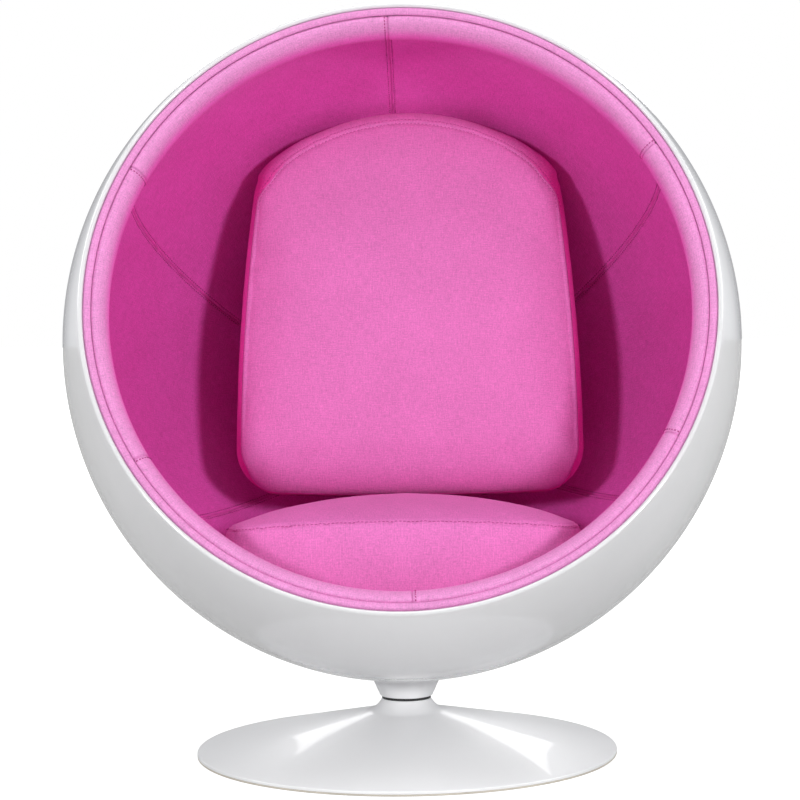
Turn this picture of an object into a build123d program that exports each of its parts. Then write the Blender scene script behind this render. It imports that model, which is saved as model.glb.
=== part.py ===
from build123d import *
import math
import os

# Ball chair: an upholstered sphere with one round opening, turning on a low trumpet base.
# Millimetres, +Z up. The origin is on the swivel axis at floor level, and the opening faces -Y.

# Ball shell, a fibreglass sphere with a rounded edge at the opening
BALL_RADIUS = 520.0
SHELL_WALL = 8.0
OPENING_TILT = 18.65
OPENING_OFFSET = 222.0
MOUNT_PAD_RADIUS = 95.0

# Padded lining inside the shell, with a six-piece roll and a flat welt round the opening
LINING_THICKNESS = 34.0
FABRIC_THICKNESS = 2.0
LINING_PIECES = 6
LINING_TURN = 2.0
ROLL_THICKNESS = 22.6
ROLL_OFFSET = 222.0
ROLL_SWELL = 21.0
ROLL_REACH = 31.0
ROLL_EDGE_ROUND = 5.0
WELT_OFFSET = 220.0
BOND_GAP = 0.2
SOFT_GAP = 0.4

# Trumpet base with its weight plate and floor ring
BASE_RADIUS = 326.0
BASE_HEIGHT = 84.0
BASE_WALL = 2.5
BASE_LIP = 4.0
NECK_RADIUS = 38.0
NECK_ANGLE = 25.0
FLARE_RADIUS = 36.0
FLOOR_RING_HEIGHT = 3.0
FLOOR_RING_WIDTH = 46.0
PLATE_THICKNESS = 5.0
PLATE_GAP = 0.3

# Column with its gussets and bushes
COLUMN_WALL = 6.0
COLUMN_HEAD_RADIUS = 34.0
COLUMN_HEAD_HEIGHT = 6.0
GUSSET_COUNT = 4
GUSSET_REACH = 100.0
GUSSET_RISE = 40.0
GUSSET_TOE = 6.0
GUSSET_THICKNESS = 6.0
BUSH_WALL = 6.0
UPPER_BUSH_LENGTH = 24.0
LOWER_BUSH_LENGTH = 20.0
BUSH_SPACING = 10.0
THRUST_WASHER_THICKNESS = 4.0

# Spindle, hub and the fastenings that hold the ball to them
SPINDLE_RADIUS = 16.0
SPINDLE_END = 5.0
RUNNING_GAP = 0.05
AXIAL_GAP = 0.3
HUB_HEIGHT = 30.0
HUB_BOTTOM_RADIUS = 42.5
HUB_TOP_RADIUS = 54.0
HUB_EDGE_ROUND = 2.5
CIRCLIP_THICKNESS = 1.75
CIRCLIP_DEPTH = 1.5
CIRCLIP_WIDTH = 4.5
CIRCLIP_MOUTH = 8.0
STOP_WASHER_THICKNESS = 2.0
MOUNT_PLATE_RADIUS = 85.0
MOUNT_PLATE_THICKNESS = 5.0
BOLT_COUNT = 4
BOLT_CIRCLE_RADIUS = 34.0
BOLT_RADIUS = 5.0
BOLT_HOLE_GAP = 0.25
BOLT_HEAD_ACROSS_FLATS = 16.0
BOLT_HEAD_HEIGHT = 6.4
BOLT_GRIP_IN_HUB = 18.0
BOLT_WASHER_RADIUS = 10.0
BOLT_WASHER_THICKNESS = 2.0
POCKET_GAP = 1.5

# Cushions: an arched outline, straight at one end, with boxed sides and crowned faces
SEAT_WIDTH = 544.0
SEAT_LENGTH = 560.0
SEAT_SHOULDER_WIDTH = 470.0
SEAT_SHOULDER_LENGTH = 455.0
SEAT_BOXING = 120.0
SEAT_CROWN = 42.0
SEAT_UNDERSIDE_CROWN = 10.0
SEAT_TILT = 4.0
SEAT_FRONT_Y = -206.0
SEAT_SEAM_HEIGHT = 370.0

BACK_WIDTH = 562.0
BACK_LENGTH = 626.0
BACK_SHOULDER_WIDTH = 500.0
BACK_SHOULDER_LENGTH = 521.0
BACK_BOXING = 96.0
BACK_CROWN = 28.0
BACK_REAR_CROWN = 12.0
BACK_LEAN = 10.0
BACK_FOOT_Y = 155.0
BACK_FOOT_GAP = 0.8
BACK_SHIFT_X = 8.0

END_SAG = 8.0
SIDE_SWELL = 10.0
CUSHION_CORNER_RADIUS = 70.0
CUSHION_SHOULDER_RADIUS = 60.0
BOXING_SWELL = 9.5

# Heights and frames that follow from the sizes above
PLATE_TOP = FLOOR_RING_HEIGHT + PLATE_THICKNESS
COLUMN_TOP = BASE_HEIGHT - BASE_WALL
COLUMN_BORE = SPINDLE_RADIUS + BUSH_WALL
COLUMN_RADIUS = COLUMN_BORE + COLUMN_WALL
HUB_BOTTOM = BASE_HEIGHT + THRUST_WASHER_THICKNESS
HUB_TOP = HUB_BOTTOM + HUB_HEIGHT
BALL_CENTRE_Z = HUB_TOP + math.sqrt(BALL_RADIUS**2 - HUB_TOP_RADIUS**2)
SHELL_BORE = BALL_RADIUS - SHELL_WALL
MOUNT_PAD_TOP = BALL_CENTRE_Z - math.sqrt(SHELL_BORE**2 - MOUNT_PAD_RADIUS**2)
MOUNT_PLATE_TOP = MOUNT_PAD_TOP + MOUNT_PLATE_THICKNESS
BOLT_HEAD_BASE = MOUNT_PLATE_TOP + BOLT_WASHER_THICKNESS
BOLT_HEAD_TOP = BOLT_HEAD_BASE + BOLT_HEAD_HEIGHT
LINING_RADIUS = SHELL_BORE - LINING_THICKNESS
ROLL_RADIUS = LINING_RADIUS + ROLL_THICKNESS
UPPER_BUSH_BOTTOM = COLUMN_TOP - UPPER_BUSH_LENGTH
LOWER_BUSH_TOP = UPPER_BUSH_BOTTOM - BUSH_SPACING
LOWER_BUSH_BOTTOM = LOWER_BUSH_TOP - LOWER_BUSH_LENGTH
STOP_WASHER_TOP = LOWER_BUSH_BOTTOM - AXIAL_GAP
CIRCLIP_TOP = STOP_WASHER_TOP - STOP_WASHER_THICKNESS
SPINDLE_BOTTOM = CIRCLIP_TOP - CIRCLIP_THICKNESS - SPINDLE_END

tilt = math.radians(OPENING_TILT)
ball_centre = (0, 0, BALL_CENTRE_Z)
opening = Plane(ball_centre, x_dir=(1, 0, 0), z_dir=(0, -math.cos(tilt), math.sin(tilt)))
bolt_places = PolarLocations(BOLT_CIRCLE_RADIUS, BOLT_COUNT, start_angle=45)


def polar(radius, angle):
    """Point at an angle in degrees from the opening's axis, as (distance from axis, height)."""
    return (radius * math.sin(math.radians(angle)), radius * math.cos(math.radians(angle)))


def axis_angle(radius, offset):
    """Angle from the opening's axis at which a sphere meets a plane across that axis."""
    return math.degrees(math.acos(offset / radius))


def sphere_band(inner, outer, front, back, rounded):
    """Section of a hollow sphere between two angles, with a full round at its front edge."""
    middle = (front + back) / 2
    if rounded:
        mean = (inner + outer) / 2
        nose_turn = math.degrees((outer - inner) / 2 / mean)
        nose = ThreePointArc(polar(inner, front), polar(mean, front - nose_turn), polar(outer, front))
    else:
        nose = Line(polar(inner, front), polar(outer, front))
    edges = [
        nose,
        ThreePointArc(polar(outer, front), polar(outer, middle), polar(outer, back)),
        Line(polar(outer, back), polar(inner, back)),
        ThreePointArc(polar(inner, back), polar(inner, middle), polar(inner, front)),
    ]
    return make_face(edges)


def spun(section, arc=360.0, start=0.0):
    """Solid of revolution about Z of a section drawn as (radius, height)."""
    return Rot(0, 0, start) * revolve(Plane.XZ * section, Axis.Z, revolution_arc=arc)


def ring(inner, outer, bottom, top):
    """Plain ring or tube on the swivel axis."""
    section = Pos((inner + outer) / 2, (bottom + top) / 2) * Rectangle(outer - inner, top - bottom)
    return spun(section)


def rod(radius, bottom, top):
    """Plain cylinder on the swivel axis."""
    return Pos(0, 0, (bottom + top) / 2) * Cylinder(radius, top - bottom)


def below(radius, top):
    """Block that takes in everything under a height, out to a radius."""
    return rod(radius, top - BALL_RADIUS, top)


def group(pieces):
    """Several separate solids kept in one node."""
    return Compound(children=list(pieces))


def trumpet_slope():
    """Centre of the flare arc and the angle of the cone that runs from it to the edge."""
    turn = math.radians(NECK_ANGLE)
    centre_r = NECK_RADIUS + FLARE_RADIUS * math.cos(turn)
    centre_z = BASE_HEIGHT + FLARE_RADIUS * math.sin(turn)
    edge_z = FLOOR_RING_HEIGHT + BASE_LIP
    run = BASE_RADIUS - centre_r
    rise = centre_z - edge_z
    slope = math.atan2(rise, run) - math.asin(FLARE_RADIUS / math.hypot(run, rise))
    return centre_r, centre_z, slope


def flare_point(radius, angle):
    """Point on an arc about the flare centre, at an angle below the level through it."""
    centre_r, centre_z, slope = trumpet_slope()
    return (centre_r - radius * math.cos(angle), centre_z - radius * math.sin(angle))


def cone_underside(radius):
    """Height of the underside of the conical skin at a distance from the axis."""
    slope = trumpet_slope()[2]
    edge_z = FLOOR_RING_HEIGHT + BASE_LIP
    return edge_z + (BASE_RADIUS - radius) * math.tan(slope) - BASE_WALL / math.cos(slope)


def plate_radius():
    """Largest plate whose top edge just clears the underside of the skin."""
    slope = trumpet_slope()[2]
    return BASE_RADIUS - (PLATE_TOP + PLATE_GAP - cone_underside(BASE_RADIUS)) / math.tan(slope)


def base_skin():
    """Spun trumpet: turned-in top, flare, cone and a short upright lip."""
    centre_r, centre_z, slope = trumpet_slope()
    under = FLARE_RADIUS + BASE_WALL
    flat = math.pi / 2 - slope
    start = math.radians(NECK_ANGLE)
    under_start = math.asin((centre_z - COLUMN_TOP) / under)
    lip_bore = SPINDLE_RADIUS + AXIAL_GAP
    lip_inside = BASE_RADIUS - BASE_WALL
    edges = [
        ThreePointArc(
            (NECK_RADIUS, BASE_HEIGHT),
            flare_point(FLARE_RADIUS, (start + flat) / 2),
            flare_point(FLARE_RADIUS, flat),
        ),
        Polyline(
            flare_point(FLARE_RADIUS, flat),
            (BASE_RADIUS, FLOOR_RING_HEIGHT + BASE_LIP),
            (BASE_RADIUS, FLOOR_RING_HEIGHT),
            (lip_inside, FLOOR_RING_HEIGHT),
            (lip_inside, cone_underside(lip_inside)),
            flare_point(under, flat),
        ),
        ThreePointArc(
            flare_point(under, flat),
            flare_point(under, (under_start + flat) / 2),
            flare_point(under, under_start),
        ),
        Polyline(
            flare_point(under, under_start),
            (lip_bore, COLUMN_TOP),
            (lip_bore, BASE_HEIGHT),
            (NECK_RADIUS, BASE_HEIGHT),
        ),
    ]
    return spun(make_face(edges))


def floor_ring():
    """Flat ring under the skin's lip and the plate's rim, which rests on the floor."""
    return ring(BASE_RADIUS - FLOOR_RING_WIDTH, BASE_RADIUS, 0, FLOOR_RING_HEIGHT)


def weight_plate():
    """Steel disc on the floor ring, open in the middle to reach the circlip."""
    return ring(COLUMN_BORE, plate_radius(), FLOOR_RING_HEIGHT, PLATE_TOP)


def column():
    """Tube on the plate, with a head that carries the turned-in top of the skin."""
    head_bottom = COLUMN_TOP - COLUMN_HEAD_HEIGHT
    tube = ring(COLUMN_BORE, COLUMN_RADIUS, PLATE_TOP, COLUMN_TOP)
    return tube + ring(COLUMN_BORE, COLUMN_HEAD_RADIUS, head_bottom, COLUMN_TOP)


def column_gussets():
    """Triangular ribs welded between the column and the plate."""
    root = COLUMN_RADIUS
    section = Polygon(
        (root, PLATE_TOP),
        (root + GUSSET_REACH, PLATE_TOP),
        (root + GUSSET_REACH, PLATE_TOP + GUSSET_TOE),
        (root, PLATE_TOP + GUSSET_RISE),
        align=None,
    )
    flat_rib = extrude(Plane.XZ * section, GUSSET_THICKNESS / 2, both=True)
    rib = flat_rib - rod(COLUMN_RADIUS, 0, COLUMN_TOP)
    return group(Rot(0, 0, 360 * k / GUSSET_COUNT) * rib for k in range(GUSSET_COUNT))


def bush(bottom, top):
    """Plain bearing bush between the column and the spindle."""
    return ring(SPINDLE_RADIUS + RUNNING_GAP, COLUMN_BORE, bottom, top)


def thrust_washer():
    """Nylon washer between the fixed neck and the turning hub."""
    return ring(SPINDLE_RADIUS + AXIAL_GAP, NECK_RADIUS, BASE_HEIGHT, HUB_BOTTOM)


def spindle():
    """Shaft with a groove for the circlip near its lower end."""
    groove_radius = SPINDLE_RADIUS - CIRCLIP_DEPTH
    groove_bottom = CIRCLIP_TOP - CIRCLIP_THICKNESS
    shaft = rod(SPINDLE_RADIUS, SPINDLE_BOTTOM, HUB_TOP)
    return shaft - ring(groove_radius, BALL_RADIUS, groove_bottom, CIRCLIP_TOP)


def circlip():
    """Open spring ring in the spindle's groove."""
    inner = SPINDLE_RADIUS - CIRCLIP_DEPTH
    clip = ring(inner, inner + CIRCLIP_WIDTH, CIRCLIP_TOP - CIRCLIP_THICKNESS, CIRCLIP_TOP)
    mouth = Pos(inner + CIRCLIP_WIDTH / 2, 0, CIRCLIP_TOP) * Box(
        2 * CIRCLIP_WIDTH, CIRCLIP_MOUTH, 4 * CIRCLIP_THICKNESS
    )
    return clip - mouth


def stop_washer():
    """Washer on the circlip that stops the ball lifting off its base."""
    bottom = CIRCLIP_TOP
    return ring(SPINDLE_RADIUS + RUNNING_GAP, COLUMN_BORE - AXIAL_GAP, bottom, STOP_WASHER_TOP)


def bolt_holes(bottom, top):
    """Clearance holes for the mounting bolts."""
    radius = BOLT_RADIUS + BOLT_HOLE_GAP
    return [place * rod(radius, bottom, top) for place in bolt_places]


def hub():
    """Conical collar pressed on the spindle, tapped from above for the bolts."""
    section = Polygon(
        (SPINDLE_RADIUS, HUB_BOTTOM),
        (HUB_BOTTOM_RADIUS, HUB_BOTTOM),
        (HUB_TOP_RADIUS, HUB_TOP),
        (SPINDLE_RADIUS, HUB_TOP),
        align=None,
    )
    lower_edge = section.vertices().sort_by(Axis.Y)[:2].sort_by(Axis.X)[-1]
    collar = spun(fillet(lower_edge, HUB_EDGE_ROUND))
    return collar - bolt_holes(HUB_TOP - BOLT_GRIP_IN_HUB, HUB_TOP)


def ball_shell():
    """Sphere open at the front, flat under the hub and filled to a level pad inside."""
    front = axis_angle(BALL_RADIUS - SHELL_WALL / 2, OPENING_OFFSET)
    sphere = opening * spun(sphere_band(SHELL_BORE, BALL_RADIUS, front, 180, True))
    pad = Pos(ball_centre) * Sphere(SHELL_BORE) & below(SHELL_BORE, MOUNT_PAD_TOP)
    solid = sphere + pad - below(BALL_RADIUS, HUB_TOP)
    return solid - bolt_holes(HUB_TOP, MOUNT_PAD_TOP)


def mount_plate():
    """Steel disc that spreads the bolts' pull over the pad."""
    disc = rod(MOUNT_PLATE_RADIUS, MOUNT_PAD_TOP, MOUNT_PLATE_TOP)
    return disc - bolt_holes(MOUNT_PAD_TOP, MOUNT_PLATE_TOP)


def mount_bolts():
    """Hexagon bolts from inside the ball into the hub."""
    head = extrude(RegularPolygon(BOLT_HEAD_ACROSS_FLATS / 2, 6, major_radius=False), BOLT_HEAD_HEIGHT)
    bolt = Pos(0, 0, BOLT_HEAD_BASE) * head + rod(BOLT_RADIUS, HUB_TOP - BOLT_GRIP_IN_HUB, BOLT_HEAD_BASE)
    return group(place * bolt for place in bolt_places)


def mount_washers():
    """Plain washers under the bolt heads."""
    washer = ring(BOLT_RADIUS + BOLT_HOLE_GAP, BOLT_WASHER_RADIUS, MOUNT_PLATE_TOP, BOLT_HEAD_BASE)
    return group(place * washer for place in bolt_places)


def roll_crease():
    """Front edge of the roll beside the welt, as (distance from axis, height)."""
    return polar(ROLL_RADIUS, axis_angle(ROLL_RADIUS, ROLL_OFFSET))


def lining_front():
    """Angle at which the wall lining ends, at the back of the roll."""
    radius, height = roll_crease()
    return math.degrees(math.atan2(radius, height - 2 * ROLL_REACH))


def lining_foam():
    """Foam layer bonded into the shell, hollowed over the mounting plate."""
    outer = SHELL_BORE - BOND_GAP
    inner = LINING_RADIUS + FABRIC_THICKNESS
    foam = opening * spun(sphere_band(inner, outer, lining_front(), 180, False))
    pocket_radius = MOUNT_PAD_RADIUS + POCKET_GAP
    return foam - below(pocket_radius, BOLT_HEAD_TOP + POCKET_GAP)


def lining_panel(index):
    """One of the fabric gores, from the roll to the pole at the back of the ball."""
    arc = 360 / LINING_PIECES
    outer = LINING_RADIUS + FABRIC_THICKNESS
    section = sphere_band(LINING_RADIUS, outer, lining_front(), 180, False)
    return opening * spun(section, arc, LINING_TURN + arc * (index - 0.5))


def rim_roll(index):
    """One length of the padded roll round the opening, swelling in from the wall in a half ellipse."""
    arc = 360 / LINING_PIECES
    radius, height = roll_crease()
    heel = (radius, height - 2 * ROLL_REACH)
    outer_heel = polar(ROLL_RADIUS, lining_front())
    outer_middle = polar(ROLL_RADIUS, (lining_front() + axis_angle(ROLL_RADIUS, ROLL_OFFSET)) / 2)
    edges = [
        EllipticalCenterArc((radius, height - ROLL_REACH), ROLL_SWELL, ROLL_REACH, 90, arc_size=180),
        Line(heel, outer_heel),
        ThreePointArc(outer_heel, outer_middle, (radius, height)),
    ]
    section = make_face(edges)
    section = fillet(section.vertices().sort_by(Axis.Y)[-1], ROLL_EDGE_ROUND)
    return opening * spun(section, arc, LINING_TURN + arc * (index - 0.5))


def rim_welt():
    """Flat fabric welt between the roll and the shell."""
    inner = ROLL_RADIUS + BOND_GAP
    outer = SHELL_BORE - BOND_GAP
    front = axis_angle((inner + outer) / 2, WELT_OFFSET)
    return opening * spun(sphere_band(inner, outer, front, lining_front(), True))


def cushion_outline(width, length, shoulder_width, shoulder_length):
    """Arched outline about its middle: nearly straight foot, swelling sides, round top."""
    foot = -length / 2
    half = width / 2
    shoulder = shoulder_width / 2
    shoulder_y = foot + shoulder_length
    side_x = (half + shoulder) / 2 + SIDE_SWELL
    side_y = (foot + END_SAG + shoulder_y) / 2
    edges = [
        ThreePointArc((-half, foot + END_SAG), (0, foot), (half, foot + END_SAG)),
        ThreePointArc((half, foot + END_SAG), (side_x, side_y), (shoulder, shoulder_y)),
        ThreePointArc((shoulder, shoulder_y), (0, length / 2), (-shoulder, shoulder_y)),
        ThreePointArc((-shoulder, shoulder_y), (-side_x, side_y), (-half, foot + END_SAG)),
    ]
    sharp = make_face(edges)
    corners = sharp.vertices().sort_by(Axis.Y)
    lower = fillet(corners[:2], CUSHION_CORNER_RADIUS)
    upper = lower.vertices().filter_by(lambda v: abs(v.Y - shoulder_y) < 1)
    return fillet(upper, CUSHION_SHOULDER_RADIUS)


def cushion_form(outline, width, boxing, crown, rear_crown, skin):
    """Boxed cushion about its middle plane, shrunk all round by the thickness of a skin."""
    shrink = 1 - 2 * skin / width
    seam = 1 - 2 * BOXING_SWELL / width
    seam_z = boxing / 2 - skin
    middle = [(seam, -seam_z), (1.0, 0), (seam, seam_z)]
    face = [(seam, 0), (0.74, 0.50), (0.52, 0.82), (0.30, 1.0)]
    front = [(size, seam_z + rise * crown) for size, rise in face]
    rear = [(size, -seam_z - rise * rear_crown) for size, rise in face]
    forms = []
    for levels in (middle, front, rear):
        forms.append(loft([Pos(0, 0, z) * scale(outline, by=size * shrink) for size, z in levels]))
    return forms[0] + forms[1] + forms[2]


def slab(bottom, top):
    """Wide flat block between two heights."""
    return Pos(0, 0, (bottom + top) / 2) * Box(4 * BALL_RADIUS, 4 * BALL_RADIUS, top - bottom)


def cushion_pieces(name, frame, forms, boxing, shoulder_y, faces):
    """Foam core and sewn cover of one cushion, pressed to the curve of the lining."""
    seam_z = boxing / 2
    outer_room = Pos(ball_centre) * Sphere(LINING_RADIUS - SOFT_GAP)
    inner_room = Pos(ball_centre) * Sphere(LINING_RADIUS - SOFT_GAP - FABRIC_THICKNESS)
    outside = frame * forms[0] & outer_room
    core = frame * forms[1] & inner_room
    cover = outside - core
    band = cover & (frame * slab(-seam_z, seam_z))
    head = frame * (Pos(0, shoulder_y + 2 * BALL_RADIUS, 0) * Box(*[4 * BALL_RADIUS] * 3))
    front, rear = faces
    return {
        f"{name}_foam": core,
        f"{name}_{front}_panel": cover & (frame * slab(seam_z, BALL_RADIUS)),
        f"{name}_{rear}_panel": cover & (frame * slab(-BALL_RADIUS, -seam_z)),
        f"{name}_boxing": band - head,
        f"{name}_zip_boxing": band & head,
    }


def seat_frame():
    """Middle plane of the seat cushion: local Y runs to the back, local Z up."""
    lean = math.radians(SEAT_TILT)
    up = Vector(0, math.sin(lean), math.cos(lean))
    rearward = Vector(0, math.cos(lean), -math.sin(lean))
    front_seam = Vector(0, SEAT_FRONT_Y, SEAT_SEAM_HEIGHT)
    middle = front_seam + rearward * (SEAT_LENGTH / 2) - up * (SEAT_BOXING / 2)
    return Plane(middle, x_dir=(1, 0, 0), z_dir=up)


def seat_form(skin):
    """Seat cushion in its frame, before it is pressed to the lining."""
    outline = cushion_outline(SEAT_WIDTH, SEAT_LENGTH, SEAT_SHOULDER_WIDTH, SEAT_SHOULDER_LENGTH)
    return cushion_form(outline, SEAT_WIDTH, SEAT_BOXING, SEAT_CROWN, SEAT_UNDERSIDE_CROWN, skin)


def seat_cushion():
    """Seat cushion, straight edge to the front, wedged in the bottom of the ball."""
    shoulder_y = SEAT_SHOULDER_LENGTH - SEAT_LENGTH / 2
    forms = (seat_form(0), seat_form(FABRIC_THICKNESS))
    return cushion_pieces("seat_cushion", seat_frame(), forms, SEAT_BOXING, shoulder_y, ("top", "bottom"))


def seat_height(y):
    """Height of the seat cushion's top on the middle line of the chair."""
    upright = Line((0, y, 0), (0, y, BALL_CENTRE_Z))
    covered = upright & (seat_frame() * seat_form(0))
    return max(vertex.Z for vertex in covered.vertices())


def back_frame():
    """Middle plane of the back cushion: local Y runs up it, local Z out of its front."""
    lean = math.radians(BACK_LEAN)
    facing = Vector(0, -math.cos(lean), math.sin(lean))
    upward = Vector(0, math.sin(lean), math.cos(lean))
    foot = Vector(BACK_SHIFT_X, BACK_FOOT_Y, seat_height(BACK_FOOT_Y) + BACK_FOOT_GAP)
    return Plane(foot + upward * (BACK_LENGTH / 2), x_dir=(1, 0, 0), z_dir=facing)


def back_form(skin):
    """Back cushion in its frame, before it is pressed to the lining."""
    outline = cushion_outline(BACK_WIDTH, BACK_LENGTH, BACK_SHOULDER_WIDTH, BACK_SHOULDER_LENGTH)
    return cushion_form(outline, BACK_WIDTH, BACK_BOXING, BACK_CROWN, BACK_REAR_CROWN, skin)


def back_cushion():
    """Back cushion, standing on the seat cushion and leaning on the back of the ball."""
    shoulder_y = BACK_SHOULDER_LENGTH - BACK_LENGTH / 2
    forms = (back_form(0), back_form(FABRIC_THICKNESS))
    return cushion_pieces("back_cushion", back_frame(), forms, BACK_BOXING, shoulder_y, ("front", "rear"))


def all_pieces():
    """Every node of the chair by name."""
    pieces = {
        "floor_ring": floor_ring(),
        "weight_plate": weight_plate(),
        "base_skin": base_skin(),
        "column": column(),
        "column_gussets": column_gussets(),
        "upper_bush": bush(UPPER_BUSH_BOTTOM, COLUMN_TOP),
        "lower_bush": bush(LOWER_BUSH_BOTTOM, LOWER_BUSH_TOP),
        "thrust_washer": thrust_washer(),
        "spindle": spindle(),
        "stop_washer": stop_washer(),
        "circlip": circlip(),
        "hub": hub(),
        "ball_shell": ball_shell(),
        "mount_plate": mount_plate(),
        "mount_bolts": mount_bolts(),
        "mount_washers": mount_washers(),
        "lining_foam": lining_foam(),
        "rim_welt": rim_welt(),
    }
    for index in range(1, LINING_PIECES + 1):
        pieces[f"lining_panel_{index}"] = lining_panel(index)
        pieces[f"rim_roll_{index}"] = rim_roll(index)
    pieces.update(seat_cushion())
    pieces.update(back_cushion())
    return pieces


os.makedirs("parts", exist_ok=True)
for node, shape in all_pieces().items():
    export_step(shape, f"parts/{node}.step")
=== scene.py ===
import math

import bpy
import numpy as np
from mathutils import Matrix, Vector


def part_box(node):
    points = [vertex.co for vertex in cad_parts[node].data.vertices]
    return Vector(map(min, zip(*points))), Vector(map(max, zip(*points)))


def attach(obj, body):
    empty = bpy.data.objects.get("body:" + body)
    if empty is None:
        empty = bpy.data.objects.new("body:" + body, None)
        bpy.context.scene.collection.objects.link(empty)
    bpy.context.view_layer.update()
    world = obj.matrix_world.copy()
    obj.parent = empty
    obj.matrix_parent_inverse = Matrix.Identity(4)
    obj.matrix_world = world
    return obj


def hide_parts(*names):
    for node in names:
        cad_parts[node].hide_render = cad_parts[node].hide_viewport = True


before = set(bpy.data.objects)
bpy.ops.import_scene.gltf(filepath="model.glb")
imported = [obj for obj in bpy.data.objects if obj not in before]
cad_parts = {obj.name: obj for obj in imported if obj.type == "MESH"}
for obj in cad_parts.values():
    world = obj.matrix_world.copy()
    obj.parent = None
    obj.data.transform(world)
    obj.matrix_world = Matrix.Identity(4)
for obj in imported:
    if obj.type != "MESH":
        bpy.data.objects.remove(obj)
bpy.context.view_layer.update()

# Sizes in metres, in the frame of the CAD model: +Z up, floor at 0, opening towards -Y.
hub_low, hub_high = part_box("hub")
HUB_TOP_RADIUS = 0.054
HUB_BOTTOM_RADIUS = 0.0425
HUB_ROUND = 0.0025
HUB_GROOVE, HUB_GROOVE_DEPTH = 0.0009, 0.00144
SPINDLE_RADIUS = 0.016
SPINDLE_GAP = 0.0003

BALL_RADIUS = 0.520
SHELL_WALL = 0.008
OPENING_TILT = math.radians(18.65)
OPENING_OFFSET = 0.222
LINING_RADIUS = 0.478
ROLL_RADIUS = 0.5006
ROLL_OFFSET = 0.222
ROLL_SWELL = 0.021
ROLL_REACH = 0.031
WELT_OFFSET = 0.220
BOND_GAP = 0.0002
SOFT_GAP = 0.0004
LINING_PIECES = 6
LINING_TURN = math.radians(2)

BASE_RADIUS = 0.326
BASE_HEIGHT = 0.084
BASE_WALL = 0.0025
BASE_LIP = 0.004
NECK_RADIUS = 0.038
NECK_ANGLE = math.radians(25)
FLARE_RADIUS = 0.036
FLARE_TRIM = 0.02
BASE_TOP_ROUND = 0.0007
BASE_EDGE_ROUND = 0.0022
FLOOR_RING_HEIGHT = 0.003
FLOOR_RING_WIDTH = 0.046
FLOOR_RING_EASE = 0.0006
SHARP_ANGLE = math.radians(38)

BALL_CENTRE = np.array([0, 0, hub_high.z + math.sqrt(BALL_RADIUS**2 - HUB_TOP_RADIUS**2)])
AXIS_X = np.array([1.0, 0, 0])
AXIS_U = np.array([0, math.sin(OPENING_TILT), math.cos(OPENING_TILT)])
AXIS_N = np.array([0, -math.cos(OPENING_TILT), math.sin(OPENING_TILT)])


# Mesh helpers

def mesh_object(name, points, faces, uvs, finish):
    """Mesh from points, faces and one UV pair per point."""
    mesh = bpy.data.meshes.new(name)
    mesh.from_pydata([tuple(p) for p in np.reshape(points, (-1, 3))], [], faces)
    layer = mesh.uv_layers.new(name="UVMap")
    loop_points = np.zeros(len(mesh.loops), np.int64)
    mesh.loops.foreach_get("vertex_index", loop_points)
    layer.data.foreach_set("uv", np.asarray(uvs, float).reshape(-1, 2)[loop_points].ravel())
    mesh.polygons.foreach_set("use_smooth", [True] * len(mesh.polygons))
    mesh.materials.append(finish)
    mesh.validate()
    mesh.update()
    obj = bpy.data.objects.new(name, mesh)
    bpy.context.scene.collection.objects.link(obj)
    return obj


def grid_faces(rows, cols, close_rows=False, close_cols=False):
    """Quads of a grid of points stored row by row."""
    faces = []
    for i in range(rows if close_rows else rows - 1):
        for j in range(cols if close_cols else cols - 1):
            a, b = i * cols + j, i * cols + (j + 1) % cols
            k = (i + 1) % rows
            faces.append((a, b, k * cols + (j + 1) % cols, k * cols + j))
    return faces


def lengths(points):
    """Distance along a run of points, starting at 0."""
    steps = np.linalg.norm(np.diff(np.asarray(points, float), axis=0), axis=1)
    return np.concatenate([[0], np.cumsum(steps)])


def opening_point(radius, alpha, beta):
    """Points in the opening's frame: alpha from its axis, beta round it."""
    radius, alpha, beta = np.broadcast_arrays(radius, alpha, beta)
    x = radius * np.sin(alpha) * np.cos(beta)
    u = radius * np.sin(alpha) * np.sin(beta)
    n = radius * np.cos(alpha)
    return BALL_CENTRE + x[..., None] * AXIS_X + u[..., None] * AXIS_U + n[..., None] * AXIS_N


def lathe(name, profile, segments, finish, tilted=False, poles=None):
    """Profile of (radius, height) swept about Z or about the opening's axis.

    A profile is a closed section, or an open one whose ends are joined to the axis at two heights.
    """
    profile = np.asarray(profile, float)
    turns = np.linspace(0, 2 * math.pi, segments, endpoint=False)
    r, h = profile[:, 0, None], profile[:, 1, None]
    points = np.stack([r * np.cos(turns), r * np.sin(turns), h + 0 * turns], -1).reshape(-1, 3)
    along = lengths(profile)
    uvs = np.stack([r * turns, along[:, None] + 0 * turns], -1).reshape(-1, 2)
    faces = [f[::-1] for f in grid_faces(len(profile), segments, poles is None, True)]
    if poles:
        first, last = len(points), len(points) + 1
        points = np.vstack([points, [[0, 0, height] for height in poles]])
        uvs = np.vstack([uvs, [[0, 0], [0, along[-1]]]])
        end = (len(profile) - 1) * segments
        for j in range(segments):
            k = (j + 1) % segments
            faces.append((j, k, first))
            faces.append((last, end + k, end + j))
    if tilted:
        points = BALL_CENTRE + points @ np.stack([AXIS_X, AXIS_U, AXIS_N])
    return mesh_object(name, points, faces, uvs, finish)


def arc(centre, radius, start, end, count):
    """Points of an arc in a profile plane."""
    turn = np.linspace(start, end, count)
    return [(centre[0] + radius * math.cos(t), centre[1] + radius * math.sin(t)) for t in turn]


def turned(start, corner, end, t):
    """Point of the curve that turns a corner from its start (0) to its end (1)."""
    return (1 - t) ** 2 * start + 2 * t * (1 - t) * corner + t**2 * end


def bump(distance, width):
    """Bell of height 1 about 0."""
    return np.exp(-(np.asarray(distance) / width) ** 2)


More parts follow.
